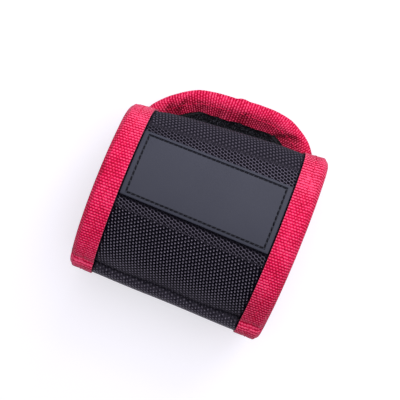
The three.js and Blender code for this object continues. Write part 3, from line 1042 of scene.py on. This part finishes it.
# Random dirt patches, a darker stretch and a painted light on the tape: how much, where and over what length
PATCH, PATCH_LENGTH, PATCH_WIDTH = 0.45, 15 * MM, 12 * MM
PATCH_SEED = {-1: -15.2, 1: 5.0}
DARKENED, DARKENED_AT, DARKENED_LENGTH = 0.35, -26 * MM, 9 * MM
LOWER_END_LIGHT, LOWER_END_LIGHT_FROM, LOWER_END_LIGHT_TO = 0.3, 36 * MM, 42 * MM
for name, (start, end, *fold) in runs.items():
    for edge_name, side in EDGES.items():
        edge = side_edge(side)

        def tape_relief(run, inset, x, side=side):
            u = side * (half_width - inset)
            swell = bulge(u, run) * (1 - ramp(x, 0, FOLD_SHARE))
            return ripple(u, run) + swell + TAPE_CREASE * crease(u, run) * (x < 0)

        def side_soil_and_shading(run, inset, side=side):
            # Random dirt patches; the forearm edge is also darker along one stretch, and past the crease a
            # painted light makes the hand edge paler.
            spot = Vector((run / PATCH_LENGTH, inset / PATCH_WIDTH, PATCH_SEED[side]))
            darkening = PATCH * max(0.0, noise.noise(spot))
            if side > 0:
                return darkening + DARKENED * bell(run - DARKENED_AT, DARKENED_LENGTH)
            return darkening - LOWER_END_LIGHT * ramp(-run, LOWER_END_LIGHT_FROM, LOWER_END_LIGHT_TO)

        ribbon = fold_tape(
            f"{name}_{edge_name}_ribbon", edge, (start, end), tape_relief, lining_top, soil_and_shading=side_soil_and_shading
        )
        thread = sew(f"{name}_{edge_name}_sewing", edge, (start, end), lining_top, tape_relief)
        for part in (ribbon, thread):
            across_fold(part, *fold)
        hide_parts(*(f"{body}_{edge_name}_binding" for body in stands_for[name]))
    print(f"{name}: bound and sewn on both edges")

# %% [markdown]
# ## The tongue's binding
#
# One ribbon runs up one side of the tongue, round both corners and down the other side. Its distance is
# measured along the bound edge. Noise crowds and spreads the waves of its puckers, always alike. Near the
# middle it is raised, as where two lengths of tape are joined.

# %% Tongue binding
corner_length = TONGUE_CORNER_RADIUS * quarter
flat_end = 2 * (half_width - TONGUE_CORNER_RADIUS)
side_run = back_split + near_end - TONGUE_CORNER_RADIUS
tongue_edge_length = 2 * side_run + 2 * corner_length + flat_end
PUCKER_PITCH = 11 * MM
PUCKER_HEIGHT = 0.35 * MM
PUCKER_DRIFT = 0.9
PUCKER_DRIFT_LENGTH = 24 * MM
PUCKER_STRENGTH_LENGTH = 31 * MM
PUCKER_EASE = 12 * MM
PUFF, PUFF_FROM, PUFF_TO = 1.5 * MM, 1 * MM, 6 * MM
DEEPEST = -0.1 * MM
FRAY = 0.3 * MM
FRAY_LENGTH = 1.6 * MM
# Sizes of the random dirt patches; strengths of the painted shade on the legs, the dirt patches, the painted
# shade in the creases and the painted highlight on the fold
DIRT_LENGTH, DIRT_WIDTH = 9 * MM, 5 * MM
LEG_SHADE, PATCH_DIRT, CREASE_FOLD_SHADE = 0.75, 0.60, 0.30
FOLD_HIGHLIGHT = 0.12
# How far the tape strays out of the round outline, and how far its legs are drawn to it: distance, amount, mm
STRAY = (
    (30, 0), (46, 1.0), (52, 1.0), (60, 0.4), (66, 0.3), (72, -0.3), (80, -0.9), (88, -0.8), (90, -0.3),
    (92, -0.3), (94, -1.0), (100, -0.8), (106, -0.2), (112, 0.7), (122, 0.7), (135, 1.4), (142, 0.8),
    (152, 0),
)
DRAWN = ((40, 0), (55, 1.0), (62, 1.1), (70, 0.8), (78, 0.0), (104, 0.0), (110, 0.7), (124, 0.8), (140, 0))
# Creases across the tape: distance at the fold, slant, depth, width and the inset where it begins, mm
FOLDS = (
    (52, 1.3, 1.5, 2.2, 1), (87, 0.1, 1.6, 1.2, 4), (98, 0.2, 0.8, 1.2, 6), (114.5, 1.2, 1.7, 1.2, 1),
    (122, 1.2, 1.6, 1.4, 1),
)
# Where two lengths of the tape lie on each other, mm, and how far that lifts it
OVERLAP_FROM, OVERLAP_TO = 89.0, 94.5
OVERLAP = 0.5 * MM


def tongue_edge(run):
    """Place on the tongue's bound edge at a distance from its forearm end."""
    distance, mirrored = run, run > tongue_edge_length / 2
    run = tongue_edge_length - run if mirrored else run
    side = -1 if mirrored else 1
    corner_u = half_width - TONGUE_CORNER_RADIUS
    corner_s = TONGUE_CORNER_RADIUS - near_end
    if run < side_run:
        return side * half_width, back_split - run, side, 0.0
    angle = min(quarter, (run - side_run) / TONGUE_CORNER_RADIUS)
    out_u, out_s = math.cos(angle), -math.sin(angle)
    beyond = max(0.0, run - side_run - corner_length)
    stray = between(STRAY, distance / MM) * MM
    u = corner_u + (TONGUE_CORNER_RADIUS + stray) * out_u - beyond
    return side * u, corner_s + (TONGUE_CORNER_RADIUS + stray) * out_s, side * out_u, out_s


def pucker(run, inset, x):
    """How far the tape stands off the tongue.
    It puffs, gathers in waves and is creased, and it is double where two lengths of it meet."""
    drift = noise.noise(Vector((run / PUCKER_DRIFT_LENGTH, 3.0, x)))
    wave = math.sin((run / PUCKER_PITCH + PUCKER_DRIFT * drift) * math.tau)
    strength = 0.6 + 0.8 * noise.noise(Vector((run / PUCKER_STRENGTH_LENGTH, 7.0, 0)))
    on_tongue = ramp(min(run, tongue_edge_length - run), side_run, side_run + PUCKER_EASE)
    lift = (PUFF + PUCKER_HEIGHT * wave * strength) * ramp(inset, PUFF_FROM, PUFF_TO)
    at, in_mm = run / MM, inset / MM
    lift += OVERLAP * (ramp(at, OVERLAP_FROM, OVERLAP_FROM + 1) - ramp(at, OVERLAP_TO - 1, OVERLAP_TO))
    for fold_at, slant, depth, width, begins in FOLDS:
        lift -= depth * MM * bell(at - fold_at - slant * in_mm, width) * ramp(in_mm, begins, begins + 3)
    return -max(lift, DEEPEST) * on_tongue * ramp(x, 0, FOLD_SHARE)


def in_folds(run, inset):
    """Painted shade on the legs and in the creases, with random dirt patches, up to 1. A painted highlight
    makes the fold a little paler.
    """
    at, in_mm = run / MM, inset / MM
    patch = max(0.0, noise.noise(Vector((run / DIRT_LENGTH, inset / DIRT_WIDTH, 2.0))))
    shade_and_dirt = LEG_SHADE * ramp(in_mm, 1, 7) - FOLD_HIGHLIGHT + PATCH_DIRT * patch * ramp(in_mm, 1.5, 5)
    for fold_at, slant, depth, width, begins in FOLDS:
        near_fold = bell(at - fold_at - slant * in_mm, 2.2 * width)
        shade_and_dirt += CREASE_FOLD_SHADE * depth * near_fold * ramp(in_mm, begins, begins + 4)
    return min(1.0, shade_and_dirt)


def draw_in(run, inset):
    """How far the tape's legs are drawn towards the edge round the tongue, with a frayed free edge."""
    at_free_edge = ramp(inset, BINDING_WIDTH - 2 * MM, BINDING_WIDTH)
    frayed = FRAY * noise.noise(Vector((run / FRAY_LENGTH, 0, 0))) * at_free_edge
    return between(DRAWN, run / MM) * MM * inset / BINDING_WIDTH + frayed


def thin_depth(run):
    return -LAYER_GAP


span = (0.0, tongue_edge_length)
tongue_ribbon = fold_tape(
    "tongue_ribbon", tongue_edge, span, pucker, thin_depth, gather=draw_in, soil_and_shading=in_folds, step=0.5 * MM
)
tongue_thread = sew("tongue_sewing", tongue_edge, span, thin_depth, pucker)
for part in (tongue_ribbon, tongue_thread):
    across_fold(part, *tongue_run)
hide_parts("tongue_binding")
print(f"tongue binding: {tongue_edge_length / MM:.0f} mm of tape")

# %% [markdown]
# ## Hem of the loop end
#
# The loop end's free edge gets a narrow ribbon of the same tape, between the two side bindings.

# %% Hem
TRIM_GAP = 0.4 * MM
HEM_WIDTH = 5 * MM
trim_half = half_width - BINDING_WIDTH - TRIM_GAP


def hem_edge(run):
    return run, far_end, 0.0, 1.0


span = (-trim_half, trim_half)
hem = fold_tape("hem_ribbon", hem_edge, span, lambda run, inset, x: 0.0, thin_depth, width=HEM_WIDTH)
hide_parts("loop_end_hem")
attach(hem, "loop_end")
print(f"hem: {2 * trim_half / MM:.0f} mm of narrow tape")

# %% [markdown]
# ## Badge
#
# A soft rubber badge is moulded flat with a channel for its seam and then sewn on, so it bends with the band.
# It starts as a block: two insets mark the channel, the ring between them is pressed down, the rims at its
# ends are widened and bevelled, and slices across it let it follow the crown. It was sewn on a little out of
# square, so its far edge is drawn out, more towards one end.

# %% Badge
BADGE_THICKNESS = 1.4 * MM
CHANNEL_INSET = 1.1 * MM
END_RIM = 1.9 * MM
BADGE_DRAWN = 0.85 * MM
BADGE_WEDGE = -0.0147
CHANNEL_WIDTH = 0.9 * MM
CHANNEL_DEPTH = 0.8 * MM
BADGE_ROUNDING = 0.35 * MM
BADGE_GAP = 0.8 * MM
BADGE_SLICE = 1.5 * MM
BADGE_CROSS_SLICE = 4 * MM
NEAR = 0.1 * MM
badge_low = NYLON + LAYER_GAP
badge_top = badge_low + BADGE_THICKNESS


def press_channel(shape):
    """Marks a ring inside the top face and presses it down."""
    top = max(shape.faces, key=lambda face: face.calc_center_median().z)
    bmesh.ops.inset_region(shape, faces=[top], thickness=CHANNEL_INSET, use_even_offset=True)
    ring = bmesh.ops.inset_region(shape, faces=[top], thickness=CHANNEL_WIDTH, use_even_offset=True)["faces"]
    pressed = bmesh.ops.extrude_face_region(shape, geom=ring)["geom"]
    bmesh.ops.translate(shape, verts=corners(pressed), vec=(0, 0, -CHANNEL_DEPTH))
    bmesh.ops.delete(shape, geom=ring, context="FACES_ONLY")


def slice_up(shape, direction, start, end, step):
    """Cuts a flat shape at even steps along a direction, so that it can bend."""
    count = math.ceil((end - start) / step)
    for i in range(1, count):
        bisect(shape, direction * (start + (end - start) * i / count), direction)


badge_from = panel_split - BADGE_LENGTH / 2
badge_to = panel_split + BADGE_LENGTH / 2


def draw_out(shape):
    """Draws the far edge of a flat shape on the badge out of square."""
    for vertex in shape.verts:
        share = (vertex.co.y - badge_from) / BADGE_LENGTH
        vertex.co.y += share * (BADGE_DRAWN + BADGE_WEDGE * vertex.co.x)


shape = bmesh.new()
badge_half = half_width - BINDING_WIDTH - BADGE_GAP
block_half = badge_half - END_RIM + CHANNEL_INSET
size = Matrix.Diagonal((2 * block_half, BADGE_LENGTH, BADGE_THICKNESS, 1))
centre = Matrix.Translation((0, panel_split, badge_low + BADGE_THICKNESS / 2))
bmesh.ops.create_cube(shape, size=1, matrix=centre @ size)
press_channel(shape)
for vertex in shape.verts:
    if abs(vertex.co.x) > block_half - NEAR:
        vertex.co.x = math.copysign(badge_half, vertex.co.x)
outline = [
    edge
    for edge in shape.edges
    if min(abs(vertex.co.x) for vertex in edge.verts) > badge_half - NEAR
    and max(vertex.co.z for vertex in edge.verts) > badge_top - NEAR
]
bmesh.ops.bevel(
    shape, geom=outline, offset=BADGE_ROUNDING, segments=3, profile=0.5, affect="EDGES", material=-1
)
slice_up(shape, Vector((0, 1, 0)), badge_from, badge_to, BADGE_SLICE)
slice_up(shape, Vector((1, 0, 0)), -badge_half, badge_half, BADGE_CROSS_SLICE)
print_cut(shape)
draw_out(shape)
wrap(shape, ripple, BADGE_TURN)
badge = piece("badge_plate", shape, rubber)
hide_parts("badge")
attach(badge, "panel")

# %% Seam of the badge
BADGE_STITCH_PITCH = 2.1 * MM
BADGE_STITCH = 1.9 * MM
BADGE_STITCH_RADIUS = 0.27 * MM
THREAD_SINK = 0.45 * MM
SEAM_SLANT = math.radians(9)
seam_inset = CHANNEL_INSET + CHANNEL_WIDTH / 2
seam_half = block_half - seam_inset
seam_from, seam_to = badge_from + seam_inset, badge_to - seam_inset
seam_level = badge_top - THREAD_SINK
shape = bmesh.new()


def seam_line(a, b, angle):
    """Stitches from one corner of the channel to the next."""
    length = math.dist(a, b)
    count = int(length / BADGE_STITCH_PITCH)
    for i in range(count):
        t = (i + 0.5) / count
        u, s = a[0] + (b[0] - a[0]) * t, a[1] + (b[1] - a[1]) * t
        stitch(shape, u, s, seam_level, angle + SEAM_SLANT, BADGE_STITCH, BADGE_STITCH_RADIUS)


for s in (seam_from, seam_to):
    seam_line((-seam_half, s), (seam_half, s), quarter)
for u in (-seam_half, seam_half):
    seam_line((u, seam_from), (u, seam_to), 0.0)
print_cut(shape)
draw_out(shape)
wrap(shape, ripple, BADGE_TURN)
seam = piece("badge_seam", shape, black_thread)
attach(seam, "panel")
print("badge: bare, with a sewn channel")

# %% [markdown]
# ## Hook and loop
#
# Hook tape is a woven base set with rows of stiff little hooks. Each hook is a leaning peg with a wider tip.
# They stand on the inner face of the strap and the tongue, but not where the tongue folds, and hold the
# brushed loops of the loop end.

# %% Hook tape
HOOK_TAPE = 1.0 * MM
HOOK_BASE = 0.4 * MM
HOOK_PITCH = 1.7 * MM
HOOK_WIDTH = 0.28 * MM
HOOK_LEAN = 0.5
HOOK_TIP = (1.5, 1.9, 1.0)
hook_level = -LAYER_GAP - LINING - LAYER_GAP
hook_from = tongue_fold + TONGUE_FOLD - LOOP_END_REACH
hook_inset = BINDING_WIDTH + TRIM_GAP
hook_to = -(near_end - hook_inset)
shape = flat_grid(CELL, STEP, (-trim_half, trim_half), (hook_to, hook_from))
narrow_tongue(shape, trim_half, hook_inset)
thicken(shape, hook_level - HOOK_BASE, hook_level)
hook_base = lay("hook_strip", shape, hook_plastic, ripple)
across_fold(hook_base, *tongue_run)
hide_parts("back_hook_tape", "tongue_hook_tape")

hooks = bmesh.new()
peg = HOOK_TAPE - HOOK_BASE
rows = int((hook_from - hook_to) / HOOK_PITCH) - 1
for row in range(rows):
    s = hook_to + (row + 1) * HOOK_PITCH
    if abs(s - tongue_fold) < TONGUE_BEND + HOOK_PITCH:
        continue
    half = tongue_half(s, hook_inset) - HOOK_PITCH / 2
    columns = int(2 * half / HOOK_PITCH)
    for column in range(columns):
        u = -half + (column + (0.25 if row % 2 else 0.75)) * HOOK_PITCH
        foot = Matrix.Translation((u, s, hook_level - HOOK_BASE - peg / 2))
        lean = Matrix.Shear("XY", 4, (0.0, HOOK_LEAN if column % 2 else -HOOK_LEAN))
        size = Matrix.Diagonal((HOOK_WIDTH, HOOK_WIDTH, peg, 1))
        made = bmesh.ops.create_cube(hooks, size=1, matrix=foot @ lean @ size)["verts"]
        tip = [vertex for vertex in made if vertex.co.z < hook_level - HOOK_BASE - peg / 2]
        bmesh.ops.scale(hooks, verts=tip, vec=HOOK_TIP, space=Matrix.Translation((-u, -s, 0)))
across_fold(lay("hooks", hooks, hook_plastic, ripple), *tongue_run)
print(f"hook tape: hooks {HOOK_PITCH / MM:.1f} mm apart")

# %% Loop tape
LOOP_TAPE = 0.7 * MM
PILE, PILE_LENGTH = 0.05 * MM, 1.5 * MM
loop_from = begin(far_half, LOWER) + LOWER_BEND_RADIUS * quarter / 2
loop_to = far_end - HEM_WIDTH - TRIM_GAP


def brushed(u, s):
    return ripple(u, s) + PILE * noise.noise(Vector((u, s, 0)) / PILE_LENGTH)


shape = flat_grid(STEP, STEP, (-trim_half, trim_half), (loop_from, loop_to))
thicken(shape, NYLON + LAYER_GAP / 2, NYLON + LAYER_GAP + LOOP_TAPE)
loop_tape = lay("loop_strip", shape, loop_pile, brushed)
across_fold(loop_tape, "far_wall", "loop_end", *bend(far_half, LOWER))
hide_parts("loop_tape")
print("loop tape: on the loop end's outer face")

# %% [markdown]
# ## Foam and magnets
#
# The foam is sewn off at the bends, so it stays in the flat stretches. The CAD foam already has a pocket for
# each magnet: a copy of its mesh is merged and cut off square where the bends begin and beside the bindings'
# folds. The magnets keep their CAD solids, chamfers and all, with a nickel finish.

# %% Foam pads
PAD_MARGIN = 1.5 * MM
CREASE_CLEARANCE = 11 * MM
WELD = 0.001 * MM


def foam_pad(node, cuts):
    """A copy of a foam solid, kept between cutting planes that face out of it."""
    shape = bmesh.new()
    shape.from_mesh(frame["nodes"][node].data)
    bmesh.ops.remove_doubles(shape, verts=shape.verts, dist=WELD)
    for point, direction in cuts:
        cut = bisect(shape, point, direction, clear_outer=True)
        rim = [one for one in cut["geom_cut"] if isinstance(one, bmesh.types.BMEdge)]
        bmesh.ops.edgeloop_fill(shape, edges=rim)
    bmesh.ops.recalc_face_normals(shape, faces=shape.faces)
    made = piece(node.replace("foam", "pad"), shape, foam)
    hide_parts(node)
    return made


def cut_plane(s, towards):
    """A plane across the band at a distance round it, facing along the band."""
    here = place(0, s, 0)
    return here, (place(0, s + towards * MM, 0) - here).normalized()


pad_cuts = {
    "panel": (CREASE_PLACE + CREASE_CLEARANCE, begin(far_half, UPPER)),
    "near_wall": (begin(near_half, LOWER), begin(near_half, WALL)),
    "far_wall": (begin(far_half, WALL), begin(far_half, LOWER)),
}
pad_half = half_width - TAPE - LAYER_GAP - PAD_MARGIN
pad_sides = [(Vector((middle_x + side * pad_half, 0, 0)), Vector((side, 0, 0))) for side in EDGES.values()]
for body, (low, high) in pad_cuts.items():
    pad = foam_pad(f"{body}_foam", [cut_plane(low, -1), cut_plane(high, 1), *pad_sides])
    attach(pad, body)
print("pads:", ", ".join(pad_cuts))

# %% Magnets
magnets = [node for name, node in frame["nodes"].items() if "magnet" in name]
for magnet in magnets:
    magnet.data.materials.clear()
    magnet.data.materials.append(nickel)
print(f"magnets: {len(magnets)} nickel discs")
